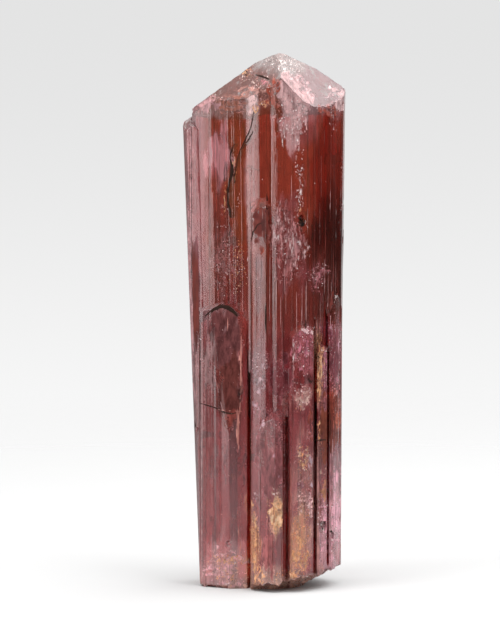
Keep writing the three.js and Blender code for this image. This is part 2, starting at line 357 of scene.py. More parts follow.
# Soft, milky clouds in the body: place, half size, and colour and density in hundredths.
HAZES = [
    (-9.9, 71.5, 2.1, 5.4, 98, 48, 52, 95),
    (-9.5, 53.5, 3.2, 6.5, 55, 30, 30, 45),
    (1.4, 58, 3, 7.4, 38, 13, 13, 60),
    (6, 52, 2.6, 3, 46, 15, 17, 45),
    (2.4, 79, 2.8, 5.5, 98, 68, 68, 85),
    (-9, 79.8, 7.5, 1.8, 65, 36, 33, 65),
    (-3.2, 36, 2, 8, 44, 24, 26, 65),
    (0.3, 35.6, 2, 3.6, 38, 8, 10, 75),
    (3.7, 39.8, 2, 4.4, 54, 18, 21, 80),
    (7.4, 36, 1.4, 5.5, 62, 24, 30, 60),
    (9.4, 40, 1.3, 7, 60, 30, 35, 55),
    (3.3, 32.4, 2, 2.4, 82, 50, 45, 75),
    (8.8, 31.5, 1.5, 2.6, 62, 13, 8, 85),
    (8, 42.5, 1.4, 3, 60, 24, 34, 60),
    (-1.5, 23.5, 2.6, 7.5, 36, 12, 12, 70),
    (4.2, 19, 2.2, 7, 58, 29, 26, 60),
    (4.6, 12, 2.2, 5, 80, 50, 46, 60),
    (8.4, 11, 2.6, 8, 90, 48, 55, 75),
    (-9, 4, 4.6, 5, 95, 54, 54, 90),
    (-4.2, 7, 1.2, 8, 88, 42, 22, 80),
    (3.4, 7, 2.4, 7, 84, 46, 28, 75),
    (-0.7, 13, 1.4, 3.2, 95, 58, 36, 75),
    (-1.5, 2.6, 5, 2.6, 85, 50, 42, 70),
    (-9.5, 22, 4, 16, 50, 26, 27, 40),
    (-8.6, 37, 2.4, 9.5, 26, 7, 6, 95),
    # Lighter grey-pink on the left part of the first small crystal's face: painted reflection.
    (-11.9, 35, 1, 10, 38, 20, 20, 70),
    (-10.5, 45, 3, 2.6, 60, 32, 34, 55),
    # A pale pink haze down the left edge: partly the slab's colour, partly a painted sheen of that edge.
    (-15.2, 50, 1, 34, 85, 46, 48, 70),
    (-5.1, 7, 0.6, 9, 95, 50, 28, 95),
    (-5.1, 24, 0.5, 9, 40, 14, 10, 80),
    (1.15, 12, 0.5, 14, 50, 20, 18, 80),
    (5.9, 14, 0.5, 14, 42, 18, 16, 80),
    (6.3, 36.8, 0.9, 6.5, 62, 31, 20, 85),
    (-14, 49, 0.7, 9.5, 16, 3, 3, 90),
    (9.4, 28, 1.2, 3.8, 42, 7, 5, 90),
    (-3.4, 48.5, 1, 8.5, 36, 19, 19, 70),
]
ZONE_RAGGED = 0.35
ZONE_SOFT = 0.5
HAZE_RAGGED = 0.9
HAZE_SOFT = 0.7
OVAL_ENDS = 1.25  # an oval's outer end, in half sizes
OVAL_FAR = 2  # it never reaches further out than this


def hundredths(colour):
    """A colour given in hundredths."""
    return Vector([part / HUNDRED for part in colour])


def within(co, oval, ragged, soft):
    """How far inside a ragged oval with a soft edge a point is, from 0 to 1."""
    across, up, wide, tall = oval
    reach = math.hypot(((co.x - SUMMIT_X) / MM - across) / wide, (co.z / MM - up) / tall)
    if reach > OVAL_FAR:
        return 0.0
    reach += ragged * (wave(co, 2.5, 6, across) + 0.6 * wave(co, 0.9, 2.5, up))
    return min(1.0, max(0.0, (OVAL_ENDS - reach) / soft))


def tint_at(co):
    """The body's colour at a point."""
    start, end = UPPER_ENDS
    low_share = min(1.0, max(0.0, (start - co.z / MM + UPPER_RAGGED * wave(co, 3, 9)) / (start - end)))
    colour = Vector(UPPER).lerp(Vector(LOWER), low_share)
    for *oval, red, green, blue, strength in ZONES:
        share = strength / HUNDRED * within(co, oval, ZONE_RAGGED, ZONE_SOFT)
        colour = colour.lerp(hundredths((red, green, blue)), share)
    return colour


def haze_at(co):
    """The colour of the clouds at a point, and how dense they are."""
    colour, dense = hundredths(HAZES[0][4:7]), 0.0
    for *oval, red, green, blue, strength in HAZES:
        share = within(co, oval, HAZE_RAGGED, HAZE_SOFT)
        colour = colour.lerp(hundredths((red, green, blue)), share)
        dense = max(dense, strength / HUNDRED * share)
    return (*colour, dense)


def store(data, name, colours):
    """Stores a colour for each vertex of a mesh."""
    data.attributes.new(name=name, type="FLOAT_COLOR", domain="POINT").data.foreach_set("color", colours)


def paint(data):
    """Stores the body's colour and its clouds on the mesh."""
    tints, hazes = [], []
    for vertex in data.vertices:
        tints.extend((*tint_at(vertex.co), 1.0))
        hazes.extend(haze_at(vertex.co))
    store(data, "tint", tints)
    store(data, "haze", hazes)


# What is frosted: faces that lean at least this much, above the first height and below the second.
FROSTED_LEAN = 0.32
POINT_FROM = 76 * MM
BREAK_UPTO = 12 * MM


def is_frosted(polygon):
    """The faces of the point are etched and the break is rough; the sides and smaller tips aren't."""
    level = polygon.center.z
    return abs(polygon.normal.z) > FROSTED_LEAN and (level > POINT_FROM or level < BREAK_UPTO)


def crystal():
    """The crystal's body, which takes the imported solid's place."""
    mesh = finely_cut()
    carve(mesh)
    data = bpy.data.meshes.new("tourmaline_body")
    mesh.to_mesh(data)
    mesh.free()
    paint(data)
    data.materials.append(tourmaline("tourmaline", clear_look))
    data.materials.append(tourmaline("tourmaline_frosted", frosted_look))
    for polygon in data.polygons:
        polygon.use_smooth = True
        polygon.material_index = int(is_frosted(polygon))
    data.set_sharp_from_angle(angle=SHARP)
    piece = placed("tourmaline_body", data)
    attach(piece, BODY)
    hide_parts(NODE)
    return piece


ABSORBED = (0.90, 0.16, 0.10, 1)
ABSORPTION = 380.0
REFRACTION = 1.63
FROST = (0.95, 0.87, 0.85, 1)  # the colour of the whitest places on frosted faces


def tourmaline(name, look):
    """A see-through material of the crystal with a look."""
    material, g = new_material(name)
    inputs = {"IOR": REFRACTION, **look(g, g.millimetres())}
    volume = g.add("ShaderNodeVolumeAbsorption", {"Color": ABSORBED, "Density": ABSORPTION}).outputs[0]
    g.finish("ShaderNodeBsdfPrincipled", inputs, Volume=volume)
    return material


def body_colour(g, place):
    """The zones' streaked and mottled colours, with the clouds over them."""
    streak = g.noise(place, (2.2, 2.2, 0.02), 1.0, 4, 0.65)
    mottle = g.noise(place, (1, 1, 0.6), 0.7, 4, 0.6)
    streaked, mottled = g.between(streak, 0.3, 0.7, 0.82, 1.08), g.between(mottle, 0.3, 0.7, 0.8, 1.1)
    clear = g.times(g.attribute("tint")["Color"], g.math("MULTIPLY", streaked, mottled))
    haze = g.attribute("haze")
    billows = g.noise(place, (1, 1, 0.6), 0.75, 6, 0.75)
    fibres = g.noise(place, (2.6, 2.6, 0.3), 1.0, 4, 0.7)
    uneven = g.math("MULTIPLY_ADD", billows, 1.6, g.math("MULTIPLY", fibres, 0.5))
    dense = g.math("ADD", haze["Alpha"], g.math("SUBTRACT", uneven, 1.05))
    cloud = g.times(haze["Color"], g.between(fibres, 0.35, 0.65, 0.8, 1.1))
    return g.mix(g.between(dense, 0.25, 0.85), clear, cloud)


def clear_look(g, place):
    """Deep red, with striations: flat strips with narrow grooves between them."""
    haze = g.noise(place, (1, 1, 0.2), 1.1, 3, 0.6)
    ribs = g.noise(place, (2.4, 2.4, 0.006), 1.0, 3, 0.6)
    groove = g.between(g.math("ABSOLUTE", g.math("SUBTRACT", ribs, 0.5)), 0.0, 0.012)
    return {
        "Base Color": body_colour(g, place), "Roughness": g.between(haze, 0.4, 0.75, 0.02, 0.07),
        "Transmission Weight": 0.65, "Normal": g.bump(groove, 0.18, 0.00004),
    }


def frosted_look(g, place):
    """The etched faces of the point and the hackly break at the base."""
    cloud = g.noise(place, (1, 1, 1), 0.45, 4, 0.6)
    grain = g.noise(place, (1, 1, 1.5), 2.2, 4, 0.6)
    share = g.math("ADD", g.math("MULTIPLY", cloud, 0.7), g.math("MULTIPLY", grain, 0.3))
    colour = g.mix(g.between(share, 0.50, 0.66), g.attribute("tint")["Color"], FROST)
    etched = g.noise(place, (1, 1, 1), 2.4, 3, 0.55)
    return {
        "Base Color": colour, "Roughness": g.between(cloud, 0.35, 0.65, 0.28, 0.55),
        "Transmission Weight": 0.7, "Normal": g.bump(etched, 0.35, 0.0001),
    }


SPLINTER_FACES = [(0, 2, 4), (2, 1, 4), (1, 3, 4), (3, 0, 4), (2, 0, 5), (1, 2, 5), (3, 1, 5), (0, 3, 5)]
SPLINTER_REACH = (0.55, 1.0)
EDGE_KEPT = 0.02 * MM  # how far every piece stays within the solid's box
BLADE_SHADE = 0.5


def ring_of(column, row):
    """The four corners of a cell of a grid."""
    return (column, row), (column + 1, row), (column + 1, row + 1), (column, row + 1)


# What is grown, broken or stained into the crystal near its surface, and painted light and shade. Each kind
# becomes one piece.
class Solids:
    """Many small closed shapes of one material, with colours from faint to strong."""

    def __init__(self, name, material, lie, *shades):
        self.name, self.material, self.lie = name, material, lie
        self.shades = [hundredths(shade) for shade in shades]
        self.corners, self.faces, self.colours = [], [], []

    def shade(self, share):
        """The colour at a strength from 0 to 1."""
        place = min(max(share, 0.0), 0.999) * (len(self.shades) - 1)
        lower = int(place)
        return self.shades[lower].lerp(self.shades[lower + 1], place - lower)

    def coloured(self, shade, count):
        """Gives the next corners a colour."""
        self.colours.extend((*shade, 1.0) * count)

    def splinter(self, centre, axes, rng):
        """A ragged double pyramid with its six corners along three axes."""
        first = len(self.corners)
        self.coloured(self.shade(rng.random() ** 1.5), 6)
        for axis in axes:
            for way in (1, -1):
                self.corners.append(centre + axis * way * rng.uniform(*SPLINTER_REACH))
        for face in SPLINTER_FACES:
            self.faces.append(tuple(first + corner for corner in face))

    def blade(self, line, thick, inward):
        """A closed blade along a line of points, which reaches inward from it."""
        if len(line) < 2:
            return
        first = len(self.corners)
        self.coloured(self.shade(BLADE_SHADE), 4 * len(line))
        for index, point in enumerate(line):
            ahead = line[min(index + 1, len(line) - 1)] - line[max(index - 1, 0)]
            side = ahead.cross(inward).normalized() * thick[index] / 2
            self.corners.extend((point - side, point + side, point + side + inward, point - side + inward))
        last = 4 * (len(line) - 1) + first
        self.faces.append((first, first + 1, first + 2, first + 3))
        self.faces.append((last + 3, last + 2, last + 1, last))
        for ring in range(first, last, 4):
            for side in range(4):
                a, b = ring + side, ring + (side + 1) % 4
                self.faces.append((b, a, a + 4, b + 4))

    def layer(self, tops, bottoms, cells, shades):
        """A closed layer of square cells, from the points above and below each grid place."""
        number = {}
        for place in tops:
            number[place] = len(self.corners)
            self.coloured(shades[place], 2)
            self.corners.extend((tops[place], bottoms[place]))
        for column, row in cells:
            beside = ((column, row - 1), (column + 1, row), (column, row + 1), (column - 1, row))
            at = [number[place] for place in ring_of(column, row)]
            self.faces.append(tuple(at))
            self.faces.append(tuple(index + 1 for index in reversed(at)))
            for side in range(4):
                if beside[side] not in cells:
                    a, b = at[side], at[(side + 1) % 4]
                    self.faces.append((b, a, a + 1, b + 1))

    def piece(self):
        """The piece, kept within the solid's box."""
        for corner in self.corners:
            for axis in range(3):
                corner[axis] = min(max(corner[axis], low[axis] + EDGE_KEPT), high[axis] - EDGE_KEPT)
        data = bpy.data.meshes.new(self.name)
        data.from_pydata(self.corners, [], self.faces)
        data.materials.append(self.material)
        store(data, "tint", self.colours)
        thing = placed(self.name, data)
        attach(thing, BODY)


TURNED_TO_FRONT = -0.2  # a face whose normal has less along Y is dressed from the front
SIGHT_FROM = 0.1


class Surface:
    """The crystal's surface, as seen from a side. Azimuth 0 is the front."""

    def __init__(self, tree, azimuth=0):
        self.tree, self.azimuth = tree, azimuth
        turn = math.radians(azimuth)
        self.sight = Vector((-math.sin(turn), math.cos(turn), 0))
        self.right = Vector((math.cos(turn), math.sin(turn), 0))
        self.middle = Vector((0 if azimuth else SUMMIT_X, 0, 0))

    def at(self, across, up):
        """The point and normal that are seen at a place, or nothing beside the crystal."""
        start = self.middle + self.right * across * MM + Vector((0, 0, up * MM)) - self.sight * SIGHT_FROM
        hit, normal, _, _ = self.tree.ray_cast(start, self.sight)
        if hit is None or (self.azimuth and normal.y < TURNED_TO_FRONT):
            return None
        return hit, normal


# Layers: place (across, up), half size, and how full they are and their grain across and up in hundredths.
PALE_LAYERS = [
    (2, 78.3, 1.8, 3.9, 15, 18, 80),
    (0.6, 75.4, 0.4, 2.3, 50, 16, 120),
    (2.8, 75.8, 0.45, 5.6, 40, 16, 120),
    (3.5, 66.4, 0.5, 4.2, 20, 16, 90),
    (8.7, 77.6, 0.45, 1.4, 5, 20, 50),
    (10.5, 63.6, 0.3, 0.6, 30, 20, 40),
    (-9.5, 62.4, 0.5, 2, -5, 18, 40),
    (-6.9, 64.8, 0.6, 1.2, -10, 18, 40),
    (-0.4, 60.6, 1, 4.1, 30, 15, 110),
    (2, 57, 1.3, 4.1, 32, 15, 110),
    (4.2, 56.4, 0.9, 2.2, 25, 15, 90),
    (1.4, 58, 2.8, 6.2, -12, 14, 120),
    (-1.2, 51.7, 0.7, 1.1, 10, 22, 50),
    (6.4, 52.2, 1.7, 2, -15, 25, 40),
    (-5.2, 55, 0.35, 1.4, 10, 20, 50),
    (-9.3, 53.2, 2.4, 4.8, -42, 20, 30),
    (-3.2, 38.4, 1.5, 1.3, -5, 25, 30),
    (4.4, 43.4, 1.2, 1, 15, 25, 40),
    (2.3, 39.5, 0.3, 3.3, 20, 20, 100),
    (3.9, 39.5, 1.6, 3.8, -40, 25, 80),
    (3.2, 32.9, 1.5, 1.5, -10, 25, 40),
    (7.3, 36.2, 0.9, 3, -15, 25, 50),
    (9.6, 46.2, 0.9, 1.7, -15, 25, 50),
    (9.3, 41, 0.9, 2.6, -25, 25, 80),
    (9.5, 32.5, 0.8, 1, 5, 25, 40),
    (0.1, 35.8, 1.6, 3.2, -50, 50, 25),
    (-1.5, 27, 1.9, 1.4, -20, 25, 30),
    (0.55, 19.8, 0.25, 5.4, 25, 18, 140),
    (-0.9, 16.6, 0.9, 0.9, 15, 25, 30),
    (-4, 15.8, 0.7, 1.1, 10, 25, 30),
    (4.4, 14.6, 1.4, 1.7, -15, 30, 40),
    (7.2, 19.9, 0.8, 0.8, 5, 30, 30),
    (8, 9.5, 2.1, 4.2, -8, 45, 60),
    (4.3, 9.4, 0.5, 0.5, 10, 20, 20),
    (-9, 3, 3.9, 3.4, -38, 50, 50),
    (-8.2, 0.8, 1.9, 0.5, 30, 60, 25),
    # A pale layer down the left edge: a painted sheen of that edge.
    (-14.8, 40, 0.3, 26, -10, 20, 200),
    (0.2, 87.2, 3.6, 1.5, -25, 25, 25),
    (-2.4, 84.5, 1.5, 1.7, -15, 22, 30),
    (-6.3, 84.6, 2.2, 1, -30, 25, 20),
    (-9.2, 82.8, 2, 0.8, -30, 25, 20),
    (3.4, 85.6, 2.6, 1.4, -25, 35, 20),
    (8, 82.6, 1.9, 1.3, 15, 50, 30),
    (10.2, 80.6, 0.8, 1, 15, 35, 35),
    (-3.4, 81.3, 1.6, 1.1, 0, 25, 35),
]
# Milky layers also have a colour, in hundredths.
MILKY_LAYERS = [
    (-12.4, 80.6, 2.2, 1.5, 90, 90, 80, 44, 23, 24),
    (-7.8, 80.5, 3.2, 1.5, 60, 150, 50, 30, 11.5, 8.5),
    (-4.6, 80.3, 0.9, 1.6, 90, 90, 80, 62, 40, 39),
    (-5.4, 82.6, 3.2, 1.2, 50, 100, 50, 42, 21, 18),
    (0.2, 87, 4.2, 2, 5, 26, 22, 94, 82, 79),
    (-5.6, 85, 3.6, 1.5, -5, 26, 24, 70, 56, 50),
    (-3, 83, 3, 1.5, -5, 24, 24, 72, 56, 52),
    (-10.4, 82, 2.6, 0.9, -5, 30, 20, 70, 53, 48),
    (-5.3, 86, 1.3, 1.1, 30, 50, 50, 20, 12, 9),
    (-5.8, 86.2, 0.4, 0.6, 80, 40, 40, 5, 3, 3),
    (-1.5, 87.6, 0.4, 0.3, 60, 40, 30, 8, 4, 4),
    (-2.7, 84.3, 1, 0.45, 50, 50, 25, 52, 20, 22),
    (-1.2, 82.6, 1.8, 2.4, 70, 80, 120, 28, 6, 4),
    (1.2, 84.3, 1.2, 1.6, 100, 140, 140, 52, 31, 31),
    (2.4, 81.8, 2.7, 3.1, 100, 140, 140, 52, 31, 31),
    (2.8, 78, 2, 3, 35, 70, 140, 58, 34, 34),
    (10.2, 80.8, 1.4, 1.8, 90, 80, 80, 54, 35, 35),
    (8, 79.4, 2.4, 1.2, 40, 80, 80, 30, 7, 5),
    # Pink down the left edge: partly the slab's colour, partly a painted sheen of that edge.
    (-15, 44, 0.5, 38, 60, 40, 500, 44, 22, 23),
    (9.4, 14.5, 1.1, 10.5, 55, 80, 340, 58, 27, 33),
    (3.9, 22.8, 1.4, 2.6, 20, 50, 50, 60, 42, 30),
    (4.6, 14.6, 1.8, 2.2, 35, 50, 50, 60, 38, 37),
    (8, 10, 2.2, 4.6, 30, 60, 60, 62, 27, 33),
    (-9, 3.2, 4.2, 3.4, 35, 90, 60, 58, 29, 31),
    (3.7, 40.2, 1.9, 3.8, 20, 50, 90, 46, 15, 20),
    (3.6, 32.2, 1.6, 1.9, 20, 50, 50, 54, 36, 31),
    (7.4, 37.5, 1, 4, 5, 40, 60, 46, 17, 23),
    (9.3, 42, 1.2, 4.6, 10, 50, 90, 40, 21, 26),
    (-3.1, 35.8, 1.6, 4, 0, 60, 80, 40, 26, 28),
    (0.3, 36, 1.5, 3, 5, 50, 40, 34, 8, 10),
    (-1.4, 25, 1.9, 3.2, 0, 50, 50, 34, 14, 14),
    (2.2, 84.2, 1.3, 1.1, 60, 50, 50, 62, 40, 40),
    (4.5, 82, 1.6, 1.1, 60, 50, 50, 62, 40, 40),
    (-1.4, 21.5, 2.3, 6.5, 100, 100, 300, 20, 5.8, 6.2),
    (8.9, 27.5, 1.6, 4.6, 100, 100, 300, 15, 3, 2),
    (7.5, 27, 0.8, 5, 100, 100, 300, 14, 3.5, 2.2),
    (9.3, 39, 1.2, 5.6, 90, 80, 200, 17, 4.5, 5.5),
    (-14, 49, 0.55, 9, 120, 100, 400, 15, 4, 4.5),
    (0.4, 35.6, 1.6, 3.8, 90, 100, 200, 14, 3, 3.5),
    (1.4, 58, 2.7, 6.2, 30, 50, 160, 26, 9, 9),
    (-0.3, 60.6, 1.2, 4.4, 45, 35, 130, 40, 19, 19),
    (2.1, 57, 1.5, 4.4, 45, 35, 130, 38, 17, 17.5),
    (6.3, 52.2, 2, 2.2, 30, 50, 60, 34, 12, 14),
    (-9, 53.5, 2.6, 5, 20, 50, 70, 22, 7, 7),
    (-8.9, 41.8, 2.7, 4.6, 80, 200, 500, 12.5, 4, 4),
    (-8.6, 35.6, 1.9, 6.6, 80, 200, 500, 11, 3, 2.6),
    (-8, 29, 1.1, 3.4, 60, 150, 400, 18, 4.2, 3.5),
    # Lighter grey-pink on the left part of the first small crystal's face: painted reflection.
    (-11.7, 38, 0.9, 6.5, 70, 80, 400, 23, 12.5, 12.5),
    (6.3, 41, 0.5, 2.6, 50, 40, 80, 12, 4, 2),
    (8.6, 36.6, 1.5, 3.2, 30, 50, 70, 34, 12, 16),
    (9.3, 33.4, 1.1, 2, 30, 40, 50, 50, 20, 19),
    (9.6, 28.6, 0.8, 3.2, 50, 50, 90, 42, 10, 6),
    (-3.6, 28.6, 1.1, 3.6, 25, 60, 120, 40, 25, 28),
    (-0.6, 21, 1.2, 3.4, 40, 60, 100, 38, 18, 21),
    (-1.6, 29.2, 1.8, 1.6, 30, 50, 60, 14, 4, 4.5),
    (-1, 26.2, 1.1, 1.2, 30, 40, 40, 12, 3.5, 4),
    (1.2, 26.5, 0.7, 5.5, 50, 50, 200, 16, 3, 3),
    (5.2, 28, 0.7, 3.4, 50, 40, 100, 18, 4, 3),
    (-1.8, 7, 1.2, 4.6, 50, 50, 200, 30, 9, 9),
    (5.2, 19.6, 0.6, 2.8, 60, 60, 200, 33, 23, 26),
    (3.6, 17.7, 1.2, 1.4, 50, 80, 80, 20, 7, 8.5),
    (7.2, 20, 1, 1.1, 40, 50, 50, 58, 36, 29),
    (7.2, 17, 1, 2, 60, 70, 90, 34, 14, 8),
    (1.4, 12.5, 0.5, 13.5, 90, 60, 400, 28, 10, 9),
    (6.2, 11, 0.45, 10, 90, 60, 300, 32, 14, 13),
    (8.35, 12.5, 0.3, 11, 90, 60, 300, 42, 19, 21),
    (-4.9, 8.5, 0.4, 8.5, 90, 50, 200, 40, 16, 8),
    # These two: pale paint over the base's rim and the shaded underside of its heel, partly the edge's own
    # pale colour and partly painted light.
    (3.6, 1, 5.4, 1.5, 80, 90, 50, 60, 34, 27),
    (0.2, 0.3, 5.6, 0.9, 100, 90, 50, 62, 36, 28),
]
MAROON_LAYERS = [
    (-3, 60.4, 1.4, 3.4, 100, 200, 200),
    (-2, 63.2, 0.6, 0.9, 60, 50, 50),
    (-3.1, 56.2, 0.5, 0.5, 20, 50, 50),
]
IRON_LAYERS = [
    (-2.7, 80.7, 0.9, 0.8, 43, 25, 30),
    (-3.9, 79.6, 0.6, 1, 38, 25, 40),
    (-9.1, 64.6, 0.25, 2.8, 40, 20, 70),
    (-7.6, 70, 0.5, 2.8, 23, 25, 80),
    (3.3, 63.4, 0.25, 0.5, 53, 20, 30),
    (-6.7, 53.6, 1.2, 4.8, -12, 20, 30),
    (6.7, 37.2, 0.7, 5.8, 60, 25, 70),
    (3.2, 30.6, 0.6, 0.8, 28, 25, 30),
    (3.9, 22.4, 0.9, 2.3, 25, 35, 45),
    (-0.7, 13, 1.2, 2.7, 93, 50, 70),
    (-4.6, 14.2, 0.4, 1.2, 43, 25, 40),
    (-4.2, 6.4, 0.85, 6.2, 30, 30, 90),
    (3.4, 8.3, 1.9, 6, 2, 45, 80),
    (3.5, 4.8, 1.6, 3.2, 25, 40, 70),
    (-8, 4.7, 3.3, 0.9, 28, 50, 25),
    (-9, 3, 3.9, 3.2, -7, 50, 40),
    (1.9, 2.6, 1.2, 1.4, 53, 35, 40),
    (-3, 3, 0.9, 1.8, 48, 30, 50),
    (6.6, 26.5, 0.5, 3.6, 8, 25, 70),
    (-5.6, 86, 1, 1.2, 18, 30, 30),
    (-4.2, 10.5, 0.9, 2.6, 30, 30, 70),
]
CORAL_LAYERS = [
    (-6.45, 36.2, 0.6, 6.4, 15, 25, 140),
    (-6.9, 26.6, 0.3, 4.6, 30, 25, 160),
    (-6.7, 12, 0.7, 8, -5, 25, 240),
    (-8.6, 31, 0.8, 0.5, 15, 30, 20),
    (9.3, 30.5, 0.8, 3.2, 5, 30, 90),
    (-3.6, 83, 0.7, 0.6, 10, 30, 20),
]
PITCH = (0.11, 0.19)  # the layers' grid, across and up, in millimetres
GRID_WIDE = 2.5  # how many half sizes the grid goes across a layer
LAYER_DEEP = 0.15
LAYER_STEP = 0.5  # layers end where the surface steps by more than this
LEAST_FULL = -0.7  # emptier places are left out at once
SOFT_EDGE = 0.35  # where a layer is less full, it fades into the crystal's colour
FULL_SHADE = 0.9
GROUND_DIM = 0.6  # how much of its paint's brightness the clear crystal shows


def ground_at(co):
    """The colour that the crystal shows at a point."""
    *colour, dense = haze_at(co)
    return tint_at(co).lerp(Vector(colour), dense) * GROUND_DIM


def fullness_at(spot, shape, key):
    """How full a layer is at a place, from below 0, where it is missing, to 1."""
    across, up, wide, tall, full, grain_across, grain_up = shape[:7]
    out = math.hypot((spot[0] - across) / wide, (spot[1] - up) / tall)
    if out > OVAL_ENDS:
        return -1.0
    across, up = spot[0] / (grain_across / HUNDRED), spot[1] / (grain_up / HUNDRED)
    coarse = noise.noise(Vector((across / 2.2, up / 2.2, key)))
    fine = noise.noise(Vector((across, up, key + 50)))
    finest = noise.noise(Vector((across * 2.3, up * 2.3, key + 90)))
    return full / HUNDRED - 0.25 - 0.6 * out ** 2.5 + 0.7 * coarse + 1.1 * fine + 0.7 * finest


def whole_cells(kept, tops):
    """The kept cells that have all four corners, without a step between them."""
    cells = set()
    for cell in kept:
        seen = [tops.get(corner) for corner in ring_of(*cell)]
        if all(seen) and all((seen[0] - corner).length < LAYER_STEP * MM for corner in seen[1:]):
            cells.add(cell)
    return cells


def layer(solids, surface, shape, key, rng):
    """A ragged layer at the surface, with an edge that crumbles into single cells."""
    columns, rows = (int(GRID_WIDE * size / step) for size, step in zip(shape[2:4], PITCH))
    low_top, full_top, crumble = solids.lie
    own = shape[7:]
    tops, bottoms, shades, kept = {}, {}, {}, set()
    for column in range(columns + 1):
        for row in range(rows + 1):
            spot = (shape[0] + (column - columns / 2) * PITCH[0], shape[1] + (row - rows / 2) * PITCH[1])
            fullness = fullness_at(spot, shape, key)
            seen = surface.at(*spot) if fullness >= LEAST_FULL else None
            if seen is None:
                continue
            point, normal = seen
            share = max(0.0, min(1.0, fullness))
            top = low_top + (full_top - low_top) * share
            tops[column, row] = point + normal * top * MM
            bottoms[column, row] = point + normal * (top - LAYER_DEEP) * MM
            full_shade = hundredths(own) if own else solids.shade(share / FULL_SHADE)
            shades[column, row] = ground_at(point).lerp(full_shade, min(1.0, share / SOFT_EDGE))
            if fullness + crumble * rng.uniform(-1, 1) > 0:
                kept.add((column, row))
    cells = whole_cells(kept, tops)
    used = {(column + a, row + b) for column, row in cells for a in (0, 1) for b in (0, 1)}
    solids.layer({at: tops[at] for at in used}, {at: bottoms[at] for at in used}, cells, shades)


# Straight lines on the front, which are needles, the edges of fractures, dark lines of painted shade in
# grooves and pale lines of painted highlight along edges: kind, lower and upper place, and width in
# hundredths.
LINES = [
    # Painted shade in the groove between the slab and the main crystal.
    ("dark", -14.65, 43, -14.75, 80.2, 10),
    ("maroon", -15, 60, -15.1, 79.5, 10),
    ("maroon", -14.2, 40.5, -14.5, 57.5, 42),
    ("maroon", -13.9, 39, -14.15, 57, 50),
    ("maroon", -13.6, 41.5, -13.8, 56, 46),
    ("dark", -13.2, 28, -13.2, 44.8, 12),
    # These three: painted shade in the groove beside the second small crystal.
    ("dark", -4.7, 31, -4.8, 57.5, 14),
    ("dark", -5.1, 28.5, -5.3, 40, 40),
    ("dark", -4.7, 14.6, -4.8, 31, 22),
    ("maroon", -2, 40.5, -2.1, 58, 35),
    ("dark", -2.3, 43, -2.3, 48, 25),
    ("maroon", -10.6, 55, -10.7, 62.5, 14),
    # Painted shade in a groove.
    ("dark", 6, 24.5, 6, 31.4, 34),
    # Painted shade in the same groove, lower down, in maroon.
    ("maroon", 5.9, 8, 5.9, 24.6, 20),
    ("maroon", 1.2, 2, 1.4, 27.5, 30),
    ("maroon", 1.6, 2, 1.7, 24, 22),
    ("maroon", -1.9, 1.5, -1.9, 16.6, 12),
    ("maroon", -1.2, 1.5, -1.2, 10, 8),
    ("maroon", 0.3, 2, 0.3, 10, 10),
    # Painted shade in a groove.
    ("dark", 8.4, 20, 8.4, 31, 10),
    ("maroon", 10.4, 20, 10.3, 47, 12),
    ("pale", -1.7, 45, -1.6, 58, 10),
    ("pale", 0.15, 43.8, 0.15, 49, 8),
    ("pale", 2.8, 43, 2.75, 49.8, 8),
    ("pale", 4.4, 44.8, 4.4, 51.5, 8),
    ("pale", 5.9, 11, 6.1, 24.6, 12),
    ("pale", 8.8, 21.5, 8.8, 25, 16),
    # A painted highlight along the lower front-left edge.
    ("pale", -12.95, 3, -12.95, 26.5, 10),
    ("pale", -3.4, 5, -3.4, 26, 6),
    ("pale", -14.05, 62, -14.1, 76, 6),
    ("pale", -11.6, 57, -11.6, 80, 6),
    ("pale", -1.35, 62.5, -1.3, 80, 10),
    ("pale", 1.9, 65, 1.9, 69, 6),
    # A pale line down the left edge: a painted sheen of that edge.
    ("pale", -15, 12, -15.6, 46, 14),
    ("pale", -12.7, 43.5, -8.3, 25, 5),
    ("pale", 0.5, 83, 3.6, 79.7, 7),
    ("pale", 1.5, 83.4, 5, 79.8, 5),
    ("pale", 0.6, 81.6, 2.6, 79.4, 7),
    ("pale", 2.6, 83.6, 6, 80, 6),
    ("pale", 3.8, 84, 7, 81, 5),
    ("coral", -6.6, 29.3, -6.35, 42.4, 24),
    ("coral", -6.9, 24, -6.9, 29.2, 34),
    ("coral", -10.2, 29.9, -6.3, 29.7, 14),
    ("coral", -8.6, 43, -8.6, 45.3, 14),
]
LINE_STEP = 0.9
LINE_RISE = 0.015
LINE_DEEP = 0.3
LINE_GAP = 2.2
LINE_UNEVEN = (0.6, 1.1)


def follow(solids, surface, spots, rise, deep, gap):
    """Blades through places with a width, which end and start again where the surface steps."""
    line, thick, inward = [], [], None
    for across, up, wide in spots:
        seen = surface.at(across, up)
        if seen is None:
            continue
        point, normal = seen
        if line and (point - line[-1]).length > gap * MM:
            solids.blade(line, thick, inward)
            line, thick = [], []
        inward = -normal * deep * MM
        line.append(point + normal * rise * MM)
        thick.append(wide * MM)
    if line:
        solids.blade(line, thick, inward)


def trace(solids, surface, start, end, wide, rng):
    """A straight line that thins out towards its ends. Its width is in hundredths."""
    count = max(3, int(math.dist(start, end) / LINE_STEP))
    spots = []
    for index in range(count + 1):
        share = index / count
        place = (a + (b - a) * share for a, b in zip(start, end))
        thin = rng.uniform(*LINE_UNEVEN) * min(1.0, 0.2 + 4 * min(share, 1 - share))
        spots.append((*place, wide / HUNDRED * thin))
    follow(solids, surface, spots, LINE_RISE, LINE_DEEP, LINE_GAP)
